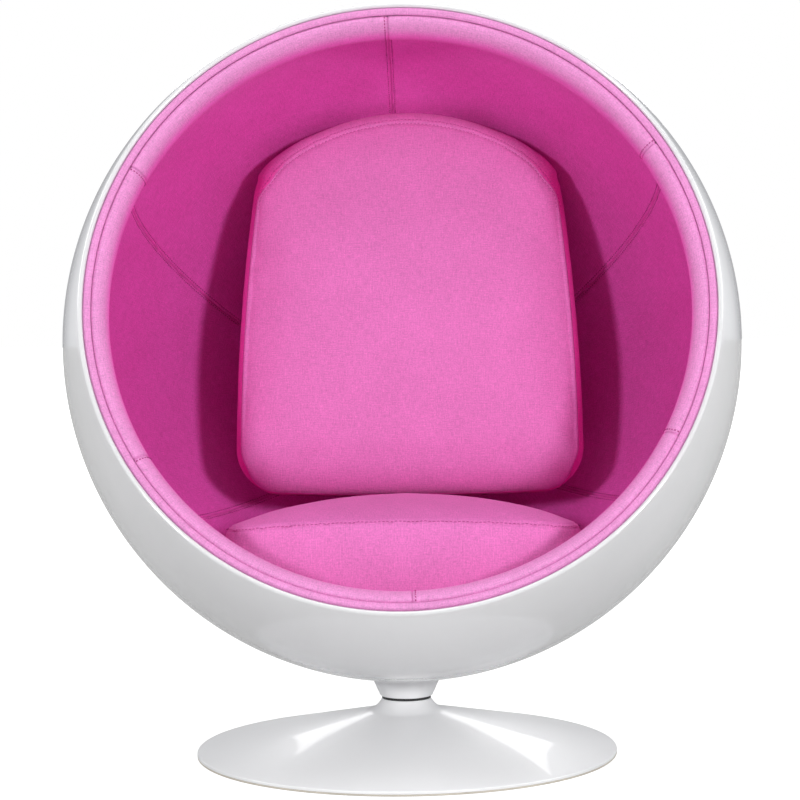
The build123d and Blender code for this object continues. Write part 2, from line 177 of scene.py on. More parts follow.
def ease(value, low, high):
    """Smooth step from 0 to 1 between two values."""
    x = np.clip((np.asarray(value) - low) / (high - low), 0, 1)
    return x * x * (3 - 2 * x)


# Height, length and phase of the sines that puckers are made of
PUCKERS = [(0.5, 0.031, 0.4), (0.35, 0.019, 2.1), (0.3, 0.0137, 4.0), (0.25, 0.047, 1.3)]


def puckers(s):
    """Sum of fixed sines along a length, for puckers that never repeat evenly."""
    return sum(a * np.sin(2 * math.pi * s / w + p) for a, w, p in PUCKERS)


# Materials

WOOL_THREADS = (560, 70)
WOOL_FIBRES = 430
WOOL_CLOUDS = 9
WOOL_TONES = (0.36, 0.64)
WOOL_ROUGHNESS = (0.62, 0.80)
WOOL_SHINE_TINT = (1.0, 0.84, 0.95, 1)
WOOL_SHEEN_TINT = (1.0, 0.66, 0.90, 1)
WOOL_RELIEF, WOOL_DEPTH = 0.6, 0.0007
GLOSS_DRIFT, GLOSS_PEEL = 3.5, 260
GLOSS_DEPTH = 0.0004
GRAIN_PATCHES = 14
GRAIN_RELIEF, GRAIN_DEPTH = 0.3, 0.0002
PATCH_TONES = (0.3, 0.7)


def node_material(name):
    """New node material with its principled shader."""
    made = bpy.data.materials.new(name)
    made.use_nodes = True
    nodes = made.node_tree.nodes
    return made, nodes, made.node_tree.links, nodes["Principled BSDF"]


def set_inputs(node, **values):
    """Set a node's sockets by name, with underscores for spaces."""
    for socket, value in values.items():
        node.inputs[socket.replace("_", " ")].default_value = value


def noise(nodes, links, vector, scale, detail, rough):
    """Noise texture on a vector."""
    tex = nodes.new("ShaderNodeTexNoise")
    set_inputs(tex, Scale=scale, Detail=detail, Roughness=rough)
    links.new(vector, tex.inputs["Vector"])
    return tex.outputs["Fac"]


def ramp(nodes, links, factor, low, high, span=(0.0, 1.0)):
    """Two-colour ramp."""
    node = nodes.new("ShaderNodeValToRGB")
    node.color_ramp.elements[0].position = span[0]
    node.color_ramp.elements[1].position = span[1]
    node.color_ramp.elements[0].color = (*low, 1)
    node.color_ramp.elements[1].color = (*high, 1)
    links.new(factor, node.inputs["Fac"])
    return node.outputs["Color"]


def span_of(nodes, links, value, low, high, span=(0.0, 1.0), smooth=False):
    """Value between two limits mapped to a range, on a straight line or a smooth step."""
    node = nodes.new("ShaderNodeMapRange")
    if smooth:
        node.interpolation_type = "SMOOTHSTEP"
    set_inputs(node, From_Min=span[0], From_Max=span[1], To_Min=low, To_Max=high)
    links.new(value, node.inputs["Value"])
    return node.outputs["Result"]


def combine(nodes, links, operation, a, b):
    """Maths on two values, either of them a number."""
    node = nodes.new("ShaderNodeMath")
    node.operation = operation
    for socket, value in zip(node.inputs, (a, b)):
        if isinstance(value, (int, float)):
            socket.default_value = value
        else:
            links.new(value, socket)
    return node.outputs["Value"]


def weighted(nodes, links, *parts):
    """Sum of values, each with its share."""
    products = [combine(nodes, links, "MULTIPLY", value, share) for value, share in parts]
    total = products[0]
    for product in products[1:]:
        total = combine(nodes, links, "ADD", total, product)
    return total


def relief(nodes, links, shader, height, strength, depth):
    """Fine bumps on a shader."""
    node = nodes.new("ShaderNodeBump")
    set_inputs(node, Strength=strength, Distance=depth)
    links.new(height, node.inputs["Height"])
    links.new(node.outputs["Normal"], shader.inputs["Normal"])


def stretched(nodes, links, vector, across, along):
    """Noise drawn out along V, for threads."""
    mapping = nodes.new("ShaderNodeMapping")
    set_inputs(mapping, Scale=(across, along, 1))
    links.new(vector, mapping.inputs["Vector"])
    return noise(nodes, links, mapping.outputs["Vector"], 1.0, 2.0, 0.6)


def wool(name, colour, grain, sheen, shine, fade=None):
    """Plain-woven wool: warp and weft threads, loose fibres, a soft sheen and a broad pale shine.

    A fade, used for painted shade, gives a second colour, and the two places along V between which it
    turns into the first.
    """
    made, nodes, links, shader = node_material(name)
    where = nodes.new("ShaderNodeTexCoord").outputs["UV"]
    warp = stretched(nodes, links, where, *WOOL_THREADS)
    weft = stretched(nodes, links, where, *WOOL_THREADS[::-1])
    fibre = noise(nodes, links, where, WOOL_FIBRES, 3.0, 0.7)
    cloud = noise(nodes, links, where, WOOL_CLOUDS, 3.0, 0.6)
    cloth = weighted(nodes, links, (warp, 0.5), (weft, 0.5))
    shade = weighted(nodes, links, (cloth, 0.46), (fibre, 0.42), (cloud, 0.12))

    def woven(tone):
        dark = tuple(c * (1 - grain) for c in tone)
        light = tuple(min(1.0, c * (1 + 0.6 * grain) + 0.02 * grain) for c in tone)
        return ramp(nodes, links, shade, dark, light, WOOL_TONES)

    tint = woven(colour)
    if fade:
        other, start, end = fade
        split = nodes.new("ShaderNodeSeparateXYZ")
        links.new(where, split.inputs[0])
        share = span_of(nodes, links, split.outputs["Y"], 0.0, 1.0, (start, end), smooth=True)
        mixed = nodes.new("ShaderNodeMix")
        mixed.data_type = "RGBA"
        links.new(share, mixed.inputs["Factor"])
        links.new(woven(other), mixed.inputs[6])
        links.new(tint, mixed.inputs[7])
        tint = mixed.outputs[2]
    links.new(tint, shader.inputs["Base Color"])
    links.new(span_of(nodes, links, fibre, *WOOL_ROUGHNESS), shader.inputs["Roughness"])
    set_inputs(shader, Specular_IOR_Level=shine, Specular_Tint=WOOL_SHINE_TINT)
    set_inputs(shader, Sheen_Weight=sheen, Sheen_Roughness=0.5, Sheen_Tint=WOOL_SHEEN_TINT)
    weave = combine(nodes, links, "ADD", cloth, fibre)
    relief(nodes, links, shader, weave, WOOL_RELIEF, WOOL_DEPTH)
    return made


def gloss(name, colour, roughness, coat, peel):
    """Sprayed gloss finish: faint orange peel, slight tone drift and a clear coat."""
    made, nodes, links, shader = node_material(name)
    where = nodes.new("ShaderNodeTexCoord").outputs["Object"]
    drift = noise(nodes, links, where, GLOSS_DRIFT, 3.0, 0.6)
    fine = noise(nodes, links, where, GLOSS_PEEL, 2.0, 0.5)
    low = tuple(c * 0.975 for c in colour)
    links.new(ramp(nodes, links, drift, low, colour, PATCH_TONES), shader.inputs["Base Color"])
    uneven = span_of(nodes, links, drift, roughness * 0.8, roughness * 1.25)
    links.new(uneven, shader.inputs["Roughness"])
    set_inputs(shader, Coat_Weight=coat, Coat_Roughness=0.04)
    relief(nodes, links, shader, fine, peel, GLOSS_DEPTH)
    return made


def plain(name, colour, roughness, metallic=0.0, grain=320.0):
    """Grained solid finish for plastic and metal."""
    made, nodes, links, shader = node_material(name)
    where = nodes.new("ShaderNodeTexCoord").outputs["Object"]
    grit = noise(nodes, links, where, grain, 3.0, 0.6)
    patch = noise(nodes, links, where, GRAIN_PATCHES, 3.0, 0.6)
    low = tuple(c * 0.78 for c in colour)
    links.new(ramp(nodes, links, patch, low, colour, PATCH_TONES), shader.inputs["Base Color"])
    uneven = span_of(nodes, links, grit, roughness * 0.75, min(1, roughness * 1.3))
    links.new(uneven, shader.inputs["Roughness"])
    set_inputs(shader, Metallic=metallic)
    relief(nodes, links, shader, grit, GRAIN_RELIEF, GRAIN_DEPTH)
    return made


# The cushion, lining and rim pinks are copies of one wool: the lining's is painted stronger in red and
# more saturated for light and shade that fall differently on the walls, and the rim's paler as a
# painted highlight on the roll and welt
CUSHION_PINK = (0.735, 0.178, 0.512)
# Deeper pink of the boxing: painted shade on the cushion's sides and foot
BOXING_SHADE_PINK = (0.84, 0.066, 0.43)
LINING_LIT_PINK = (0.985, 0.096, 0.55)
RIM_HIGHLIGHT_PINK = (0.73, 0.256, 0.562)

# Painted shade, faded by distance along V: the boxing's deeper pink gives way to the cushion's pink
# round the head, and the roll's pale pink darkens into the lining's pink round its heel
BOXING_SHADE_FADE = (CUSHION_PINK, 0.19, 0.30)
HEEL_SHADE_FADE = (LINING_LIT_PINK, 0.036, 0.064)

cushion_wool = wool("cushion_wool", CUSHION_PINK, grain=0.30, sheen=0.05, shine=0.5)
boxing_shade_wool = wool("boxing_shade_wool", BOXING_SHADE_PINK, grain=0.30, sheen=0.04, shine=0.3, fade=BOXING_SHADE_FADE)
# Lining and rim wools: copies of the cushion's wool with painted light in their colours
lining_wool = wool("lining_wool", LINING_LIT_PINK, grain=0.38, sheen=0.10, shine=0.5)
rim_wool = wool("rim_wool", RIM_HIGHLIGHT_PINK, grain=0.34, sheen=0.12, shine=0.8)
# Roll wool with painted shade: its heel darkens into the lining's pink where the roll turns into the
# wall
roll_shaded_wool = wool("roll_shaded_wool", RIM_HIGHLIGHT_PINK, grain=0.34, sheen=0.12, shine=0.8, fade=HEEL_SHADE_FADE)
# Darker thread: real topstitching, whose tone is also painted shade for its needle holes and seam lines
thread = plain("sewing_thread_and_shade", (0.40, 0.014, 0.18), roughness=0.7, grain=900)
gelcoat = gloss("shell_gelcoat", (0.69, 0.69, 0.70), roughness=0.13, coat=0.7, peel=0.03)
paint = gloss("base_paint", (0.80, 0.80, 0.81), roughness=0.34, coat=0.2, peel=0.05)
steel = plain("bare_steel", (0.56, 0.56, 0.57), roughness=0.38, metallic=1.0)
nylon = plain("black_nylon", (0.015, 0.015, 0.016), roughness=0.45)
# Warm, darker floor ring: real plastic trim, its tone also painted shade along the foot of the base's
# edge
edge = plain("edge_plastic", (0.60, 0.55, 0.47), roughness=0.5)


def finish_piece(obj, body, slot, *nodes):
    """Put a piece on its body and hide the CAD nodes that it stands for, if any. The slot is not used.
    """
    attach(obj, body)
    if nodes:
        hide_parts(*nodes)


# Hard pieces: shell, hub, base and floor ring

def axis_angle(radius, offset):
    """Angle from the opening's axis at which a sphere meets a plane across that axis."""
    return math.acos(offset / radius)


def shell_profile():
    """Section of the ball from pole to pole: outer sphere, full-round edge and inner sphere."""
    bore = BALL_RADIUS - SHELL_WALL
    mean = BALL_RADIUS - SHELL_WALL / 2
    front = axis_angle(mean, OPENING_OFFSET)
    near_pole = math.radians(179)

    def sphere(radius, start, end, count):
        return [(radius * math.sin(a), radius * math.cos(a)) for a in np.linspace(start, end, count)]

    nose = []
    for t in np.linspace(0, math.pi, 15)[1:-1]:
        out, ahead = math.cos(t) * SHELL_WALL / 2, math.sin(t) * SHELL_WALL / 2
        r = (mean + out) * math.sin(front) - ahead * math.cos(front)
        h = (mean + out) * math.cos(front) + ahead * math.sin(front)
        nose.append((r, h))
    return sphere(BALL_RADIUS, near_pole, front, 96) + nose + sphere(bore, front, near_pole, 48)


def hub_profile():
    """Closed section of the collar, with a rounded lower edge and a fine line under the ball."""
    slope = math.atan2(HUB_TOP_RADIUS - HUB_BOTTOM_RADIUS, hub_high.z - hub_low.z)
    reach = HUB_ROUND * math.tan((math.pi / 2 + slope) / 2)
    centre = (HUB_BOTTOM_RADIUS - reach, hub_low.z + HUB_ROUND)
    points = [(SPINDLE_RADIUS, hub_low.z)]
    points += arc(centre, HUB_ROUND, -math.pi / 2, -slope, 10)
    side = HUB_TOP_RADIUS - HUB_GROOVE * math.tan(slope)
    points += [(side, hub_high.z - HUB_GROOVE), (HUB_TOP_RADIUS - HUB_GROOVE_DEPTH, hub_high.z)]
    points.append((SPINDLE_RADIUS, hub_high.z))
    return points[::-1]


def base_profile():
    """Closed section of the trumpet: top, flare, cone, lip and the underside."""
    centre_r = NECK_RADIUS + FLARE_RADIUS * math.cos(NECK_ANGLE)
    centre_z = BASE_HEIGHT + FLARE_RADIUS * math.sin(NECK_ANGLE)
    edge_z = FLOOR_RING_HEIGHT + BASE_LIP
    run, rise = BASE_RADIUS - centre_r, centre_z - edge_z
    slope = math.atan2(rise, run) - math.asin(FLARE_RADIUS / math.hypot(run, rise))
    flat = math.pi / 2 - slope
    bore = SPINDLE_RADIUS + SPINDLE_GAP
    points = [(bore, BASE_HEIGHT), (NECK_RADIUS - BASE_TOP_ROUND, BASE_HEIGHT)]
    neck = math.pi + NECK_ANGLE + FLARE_TRIM
    points += arc((centre_r, centre_z), FLARE_RADIUS, neck, math.pi + flat, 40)
    start = np.array(points[-1])
    stop = np.array([BASE_RADIUS - BASE_EDGE_ROUND, edge_z + BASE_EDGE_ROUND * math.tan(slope)])
    points += [start + (stop - start) * t for t in np.linspace(0, 1, 40)[1:]]
    corner = np.array([BASE_RADIUS, edge_z])
    low = np.array([BASE_RADIUS, edge_z - BASE_EDGE_ROUND])
    points += [turned(stop, corner, low, t) for t in np.linspace(0, 1, 8)[1:]]
    inside = BASE_RADIUS - BASE_WALL
    under_edge = edge_z + BASE_WALL * math.tan(slope) - BASE_WALL / math.cos(slope)
    points += [(BASE_RADIUS, FLOOR_RING_HEIGHT), (inside, FLOOR_RING_HEIGHT), (inside, under_edge)]
    under = FLARE_RADIUS + BASE_WALL
    under_start = math.asin((centre_z - BASE_HEIGHT + BASE_WALL) / under)
    points += arc((centre_r, centre_z), under, math.pi + flat, math.pi + under_start, 24)
    points.append((bore, BASE_HEIGHT - BASE_WALL))
    return points


def ring_profile():
    """Closed section of the floor ring, with eased outer edges."""
    inner = BASE_RADIUS - FLOOR_RING_WIDTH
    return [
        (inner, FLOOR_RING_HEIGHT),
        (BASE_RADIUS - FLOOR_RING_EASE, FLOOR_RING_HEIGHT),
        (BASE_RADIUS, FLOOR_RING_HEIGHT - FLOOR_RING_EASE),
        (BASE_RADIUS, FLOOR_RING_EASE),
        (BASE_RADIUS - FLOOR_RING_EASE, 0),
        (inner, 0),
    ]


shell_poles = (SHELL_WALL - BALL_RADIUS, -BALL_RADIUS)
shell = lathe("ball_shell_gelcoat", shell_profile()[::-1], 288, gelcoat, True, shell_poles)
finish_piece(shell, "ball", "shell_gelcoat", "ball_shell")
collar = lathe("hub_collar", hub_profile(), 128, paint)
finish_piece(collar, "ball", "base_paint", "hub")
trumpet = lathe("base_trumpet", base_profile(), 256, paint)
finish_piece(trumpet, "base", "base_paint", "base_skin")
foot = lathe("floor_ring_edge", ring_profile(), 256, edge)
finish_piece(foot, "base", "edge_plastic", "floor_ring")
for hard in (collar, trumpet, foot):
    sharp = hard.modifiers.new("edges", "EDGE_SPLIT")
    sharp.split_angle = SHARP_ANGLE


# Padded lining: six gores, six lengths of roll and the welt

ROLL_EDGE = math.sqrt(ROLL_RADIUS**2 - ROLL_OFFSET**2)
LINING_FRONT = math.atan2(ROLL_EDGE, ROLL_OFFSET - 2 * ROLL_REACH)
GORE_ARC = 2 * math.pi / LINING_PIECES
CREASE_ROUND = 0.0040
SEAM_DEPTH = 0.0034
SEAM_WIDTH = 0.0019
STITCH_ROW = 0.0044
STITCH_SINK = 0.0012
STITCH_WIDTH = 0.0016
GORE_CLOTH = 0.0018
GORE_PULL, GORE_PULL_WIDTH = 0.0005, 0.011
GORE_POLE = 0.25
ROLL_DRAW, ROLL_DRAW_WIDTH = 0.085, 0.0017
ROLL_PUCKER, ROLL_PUCKER_WIDTH = 0.010, 0.018
ROLL_END_GAP = 0.00008
WELT_PUCKER = 0.02
WELT_FULLNESS = 3.0
RIM_ROW_OUT, RIM_ROW_RISE = 0.0012, 0.0006

# Length of a stitch, gap to the next one and radius of the thread
LINING_STITCH = (0.0032, 0.0020, 0.0009)
RIM_STITCH = (0.0046, 0.0030, 0.0007)
CUSHION_STITCH = (0.0044, 0.0018, 0.0005)


def gore_start(index):
    """Angle round the opening at which a gore begins."""
    return LINING_TURN + GORE_ARC * (index - 0.5)


def seam_relief(distance):
    """How far cloth sinks near a seam with a stitched row beside it."""
    row = bump(np.abs(distance) - STITCH_ROW, STITCH_WIDTH)
    return SEAM_DEPTH * bump(distance, SEAM_WIDTH) + STITCH_SINK * row


def graded(near, far, count, fine):
    """Given near distances, followed by ones that grow to the far one."""
    growing = near[-1] + (far - near[-1]) * np.linspace(0, 1, count + 1)[1:] ** fine
    return np.concatenate([near, growing])


NEAR_SEAM = np.array([0, 0.7, 1.4, 2.1, 2.9, 3.7, 4.4, 5.0, 5.4, 5.9, 6.6, 7.6, 9.0, 11.5]) / 1000


def gore(index):
    """One gore as a sheet on the ball, sunk at its seams, with UVs in metres."""
    half_width = LINING_RADIUS * GORE_ARC / 2
    offsets = graded(NEAR_SEAM, half_width, 16, 1.5)
    half = offsets / half_width
    sides = np.concatenate([half, 2 - half[::-1][1:]]) / 2
    depths = graded(NEAR_SEAM[:12], LINING_RADIUS * (math.pi - LINING_FRONT), 84, 1.0)
    alpha = LINING_FRONT + depths / LINING_RADIUS
    alpha[-1] = math.pi - 1e-4
    beta = gore_start(index) + sides * GORE_ARC
    a, b = np.meshgrid(alpha, beta, indexing="ij")
    from_seam = np.minimum(sides, 1 - sides) * GORE_ARC * LINING_RADIUS * np.sin(a)
    s = LINING_RADIUS * (a - LINING_FRONT)
    fade = np.clip((math.pi - a) / GORE_POLE, 0, 1)
    pull = GORE_PULL * puckers(s + 0.21 * index) * bump(from_seam, GORE_PULL_WIDTH)
    sink = seam_relief(from_seam) + pull
    radius = LINING_RADIUS + np.maximum(sink, 0) * fade
    points = opening_point(radius, a, b)
    across = LINING_RADIUS * np.sin(a) * (b - beta.mean())
    uvs = np.stack([across, s], -1)
    obj = mesh_object(f"lining_gore_{index}", points, grid_faces(*a.shape), uvs, lining_wool)
    thick = obj.modifiers.new("cloth", "SOLIDIFY")
    thick.thickness = GORE_CLOTH
    thick.offset = -1.0
    return obj


def nose_profile(inner, outer, front, back, side_count, nose_count, fullness):
    """Section of a padded edge as (radius, angle from axis), from its inner back to its outer back."""
    mean, half = (inner + outer) / 2, (outer - inner) / 2
    rows = [(inner, a) for a in np.linspace(back, front, side_count)]
    for t in np.linspace(0, math.pi, nose_count)[1:-1]:
        across = math.copysign(abs(math.cos(t)) ** (2 / fullness), math.cos(t))
        ahead = math.sin(t) ** (2 / fullness)
        rows.append((mean - half * across, front - half * ahead / mean))
    rows += [(outer, a) for a in np.linspace(front, back, side_count)]
    return np.array(rows)


def roll_profile():
    """Section of the roll as (distance from axis, height): a half ellipse from heel to crease."""
    turn = np.linspace(-math.pi / 2, math.pi / 2, 61)
    out = ROLL_EDGE - ROLL_SWELL * np.cos(turn)
    face = np.stack([out, ROLL_OFFSET - ROLL_REACH * (1 - np.sin(turn))], -1)
    crease = axis_angle(ROLL_RADIUS, ROLL_OFFSET)
    back = np.linspace(crease, LINING_FRONT, 9)
    outer = ROLL_RADIUS * np.stack([np.sin(back), np.cos(back)], -1)
    to_crease = lengths(face)[-1] - lengths(face)
    face = face[to_crease > CREASE_ROUND]
    outer = outer[lengths(outer) > CREASE_ROUND]
    corner = np.array([ROLL_EDGE, ROLL_OFFSET])
    nose = turned(face[-1], corner, outer[0], np.linspace(0, 1, 12)[1:-1, None])
    return np.vstack([face, nose, outer])


def roll(index):
    """One length of the padded roll: full in the middle, drawn in at the seams."""
    rows = roll_profile()
    rim_arc = GORE_ARC * ROLL_EDGE
    offsets = graded(NEAR_SEAM, rim_arc / 2, 26, 1.2)
    half = offsets / rim_arc
    sides = np.concatenate([half, 1 - half[::-1][1:]])
    trim = ROLL_END_GAP / rim_arc
    sides = trim + sides * (1 - 2 * trim)
    beta = gore_start(index) + sides * GORE_ARC
    from_seam = np.minimum(sides, 1 - sides) * rim_arc
    s = sides * rim_arc
    middle = np.array([ROLL_EDGE, ROLL_OFFSET - ROLL_REACH])
    draw = 1 - ROLL_DRAW * bump(from_seam, ROLL_DRAW_WIDTH)
    draw = draw - ROLL_PUCKER * (1 + puckers(s + index * 0.37)) * bump(from_seam, ROLL_PUCKER_WIDTH)
    out = middle[0] + (rows[:, 0, None] - middle[0]) * draw
    ahead = middle[1] + (rows[:, 1, None] - middle[1]) * draw
    points = opening_point(np.hypot(out, ahead), np.arctan2(out, ahead), beta)
    around = lengths(rows)
    uvs = np.stack([s + 0 * around[:, None], around[:, None] + 0 * s], -1)
    count, cols = out.shape
    faces = grid_faces(count, cols, close_rows=True)
    faces.append(tuple(i * cols for i in range(count)))
    faces.append(tuple(i * cols + cols - 1 for i in reversed(range(count))))
    return mesh_object(f"rim_roll_pad_{index}", points, faces, uvs, roll_shaded_wool)


def welt():
    """Narrow padded strip between the roll and the shell."""
    inner, outer = ROLL_RADIUS + BOND_GAP, BALL_RADIUS - SHELL_WALL - BOND_GAP
    mean = (inner + outer) / 2
    front = axis_angle(mean, WELT_OFFSET)
    rows = nose_profile(inner, outer, front, LINING_FRONT, 7, 27, WELT_FULLNESS)
    beta = np.linspace(0, 2 * math.pi, 720, endpoint=False)
    rim = mean * math.sin(front)
    swell = 1 + WELT_PUCKER * puckers(beta * rim)
    radius = rows[:, 0, None] + 0 * beta
    angle = front + (rows[:, 1, None] - front) * np.where(rows[:, 1, None] < front, swell, 1.0)
    points = opening_point(radius, angle, beta)
    around = lengths(np.stack([rows[:, 0], rows[:, 1] * mean], -1))
    uvs = np.stack([beta * rim + 0 * around[:, None], around[:, None] + 0 * beta], -1)
    faces = grid_faces(*radius.shape, close_rows=True, close_cols=True)
    return mesh_object("rim_welt_strip", points, faces, uvs, rim_wool)


# Place along a stitch, share of its radius and lift
STITCH_STATIONS = [
    (-0.5, 0.25, -0.9), (-0.36, 0.85, -0.1), (0.0, 1.0, 0.25), (0.36, 0.85, -0.1), (0.5, 0.25, -0.9),
]
STITCH_SIDES = 6
STITCH_PROBE = 0.001


def along_run(where, along, values):
    """Value at a distance along a run."""
    return np.array([np.interp(where, along, values[:, i]) for i in range(3)])


def stitches(name, runs, size):
    """Rows of short threads laid along runs of (points, outward normals)."""
    length, gap, radius = size
    points, faces, uvs = [], [], []
    turns = np.linspace(0, 2 * math.pi, STITCH_SIDES, endpoint=False)
    section = [(math.cos(t), math.sin(t)) for t in turns]
    for run, normals in runs:
        along = lengths(run)
        count = int(along[-1] // (length + gap))
        for k in range(count):
            mid = (k + 0.5) * along[-1] / count
            place = along_run(mid, along, run)
            out = along_run(mid, along, normals)
            ahead = along_run(mid + STITCH_PROBE, along, run)
            behind = along_run(mid - STITCH_PROBE, along, run)
            forward = (ahead - behind) / np.linalg.norm(ahead - behind)
            out = out - forward * out.dot(forward)
            out = out / np.linalg.norm(out)
            side = np.cross(forward, out)
            first = len(points)
            for shift, share, lift in STITCH_STATIONS:
                for c, d in section:
                    offset = side * c * radius * share + out * (d * radius * share + lift * radius)
                    points.append(place + forward * shift * length + offset)
                    uvs.append((shift * length, c * radius))
            for f in grid_faces(len(STITCH_STATIONS), STITCH_SIDES, close_cols=True):
                faces.append(tuple(first + i for i in f))
            faces.append(tuple(reversed(range(first, first + STITCH_SIDES))))
            faces.append(tuple(range(len(points) - STITCH_SIDES, len(points))))
    return mesh_object(name, points, faces, uvs, thread)


def lining_rows():
    """Stitched rows on both sides of every wall seam, and one beside every seam of the roll."""
    runs = []
    alpha = np.linspace(LINING_FRONT + 0.012, math.pi - 0.30, 150)
    radius = LINING_RADIUS + STITCH_SINK
    for index in range(1, LINING_PIECES + 1):
        for side in (-1, 1):
            beta = gore_start(index) + side * STITCH_ROW / (LINING_RADIUS * np.sin(alpha))
            run = opening_point(radius, alpha, beta)
            runs.append((run, BALL_CENTRE - run))
        section = roll_profile()[12:-12]
        beta = gore_start(index) + STITCH_ROW / section[:, 0]
        run = opening_point(np.hypot(*section.T), np.arctan2(*section.T), beta)
        heart = opening_point(ROLL_RADIUS, math.atan2(ROLL_EDGE, ROLL_OFFSET - ROLL_REACH), beta)
        runs.append((run, run - heart))
    return runs


def rim_rows():
    """Stitched row in the crease between the roll and the welt."""
    beta = np.linspace(0, 2 * math.pi, 721)
    radius = ROLL_RADIUS + RIM_ROW_OUT
    alpha = axis_angle(radius, WELT_OFFSET) - RIM_ROW_RISE / radius
    run = opening_point(radius, alpha + 0 * beta, beta)
    return [(run, 0 * run + AXIS_N)]


for index in range(1, LINING_PIECES + 1):
    panel = gore(index)
    extra = ("lining_foam",) if index == 1 else ()
    finish_piece(panel, "ball", "lining_wool", f"lining_panel_{index}", *extra)
    pad = roll(index)
    finish_piece(pad, "ball", "rim_wool", f"rim_roll_{index}")
strip = welt()
finish_piece(strip, "ball", "rim_wool", "rim_welt")
finish_piece(stitches("lining_topstitch", lining_rows(), LINING_STITCH), "ball", "lining_wool")
finish_piece(stitches("rim_topstitch", rim_rows(), RIM_STITCH), "ball", "rim_wool")


# Loose cushions: a sewn cover over foam, crowned faces and a boxed side

END_SAG = 0.008
SIDE_SWELL = 0.010
CORNER_RADIUS = 0.070
SHOULDER_RADIUS = 0.105
BOXING_SWELL = 0.0095
HEAD_SWELL = 0.0085
SEAM_SHOULDER_RADIUS = 0.140
HEAD_RISE = 0.004
FOOT_ROUND = 0.046
SIDE_ROUND = 0.034
SIDE_DROP = 0.010
SIDE_SEAM = 0.3
BOXING_SHARE = 0.15
ZIP_STEP = 0.0012
ZIP_FOLD = 0.0024
ZIP_EDGE = 0.002
ZIP_FLAT = (0.055, 0.08)
ZIP_SEAM = (0.002, 0.016)
PUCKER, PUCKER_WIDTH = 0.0007, 0.016
PUCKER_RISE = 0.0006
PANEL_REACH = 0.235
LIFT_SPAN = 0.45
HEAD_STITCHED = 0.12
OUTLINE_POINTS = 420

# How far a side's normal has to point down or up for it to count as foot or head
FOOT_TURN = (0.45, 0.97)
HEAD_TURN = (0.15, 0.6)


def circle_through(a, b, c):
    """Centre and radius of the circle through three points."""
    a, b, c = (np.asarray(p, float) for p in (a, b, c))
    m = 2 * np.array([b - a, c - a])
    centre = np.linalg.solve(m, np.array([b @ b - a @ a, c @ c - a @ a]))
    return centre, np.linalg.norm(a - centre)


def rounding(first, second, radius, near):
    """Centre of a round that touches two arcs from inside, and where it touches them."""
    (c1, r1), (c2, r2) = first, second
    r1, r2 = r1 - radius, r2 - radius
    line = c2 - c1
    d = np.linalg.norm(line)
    along = (r1 * r1 - r2 * r2 + d * d) / (2 * d)
    aside = math.sqrt(r1 * r1 - along * along)
    unit = line / d
    normal = np.array([-unit[1], unit[0]])
    options = [c1 + unit * along + normal * aside * sign for sign in (1, -1)]
    centre = min(options, key=lambda p: np.linalg.norm(p - near))
    touch = [centre + radius * (centre - c) / np.linalg.norm(centre - c) for c in (c1, c2)]
    return centre, touch


def arc_between(centre, start, end, step=0.002):
    """Points of an arc from one point to another, turning to the left."""
    radius = np.linalg.norm(start - centre)
    t0 = math.atan2(*(start - centre)[::-1])
    t1 = math.atan2(*(end - centre)[::-1])
    t1 = t0 + (t1 - t0) % (2 * math.pi)
    count = max(4, int(radius * (t1 - t0) / step))
    turn = np.linspace(t0, t1, count, endpoint=False)
    return centre + radius * np.stack([np.cos(turn), np.sin(turn)], -1)


def cushion_outline(width, length, shoulder_width, shoulder_length, shoulder_round):
    """Arched outline about its middle, as evenly spaced points with outward normals."""
    foot, half, shoulder = -length / 2, width / 2, shoulder_width / 2
    shoulder_y = foot + shoulder_length
    side = ((half + shoulder) / 2 + SIDE_SWELL, (foot + END_SAG + shoulder_y) / 2)
    corner, top = (half, foot + END_SAG), (shoulder, shoulder_y)
    mirror = np.array([-1, 1])
    base = circle_through(corner, (0, foot), mirror * corner)
    right = circle_through(corner, side, top)
    left = (right[0] * mirror, right[1])
    head = circle_through(top, (0, length / 2), mirror * top)
    turns = [
        (base, right, CORNER_RADIUS, np.array(corner)),
        (right, head, shoulder_round, np.array(top)),
        (head, left, shoulder_round, mirror * top),
        (left, base, CORNER_RADIUS, mirror * corner),
    ]
    rounds = [rounding(*turn) for turn in turns]
    points = []
    for k, (_, side_arc, *_) in enumerate(turns):
        centre, (start, end) = rounds[k]
        points.append(arc_between(centre, start, end))
        points.append(arc_between(side_arc[0], end, rounds[(k + 1) % 4][1][0]))
    points = np.vstack(points)
    closed = np.vstack([points, points[:1]])
    along = lengths(closed)
    even = np.linspace(0, along[-1], OUTLINE_POINTS, endpoint=False)
    outline = np.stack([np.interp(even, along, closed[:, i]) for i in (0, 1)], -1)
    tangent = np.roll(outline, -1, 0) - np.roll(outline, 1, 0)
    tangent = tangent / np.linalg.norm(tangent, axis=1)[:, None]
    normal = np.stack([tangent[:, 1], -tangent[:, 0]], -1)
    return outline, normal, even


def cushion_levels(boxing):
    """Rows of the cover: panel rows by distance from a seam, boxing rows by height."""
    panel = graded(NEAR_SEAM, PANEL_REACH, 22, 1.25)
    half = graded(NEAR_SEAM, boxing / 2, 8, 1.2)
    heights = boxing / 2 - half
    return panel, np.concatenate([heights, -heights[::-1][1:]])


CLOTH_CELL = 0.012
CLOTH_COLUMNS = 3
CLOTH_FRAMES = 20
CLOTH_SMOOTHING = 10
CLOTH_EXTRA = 0.012
CLOTH_AIR = 4.0


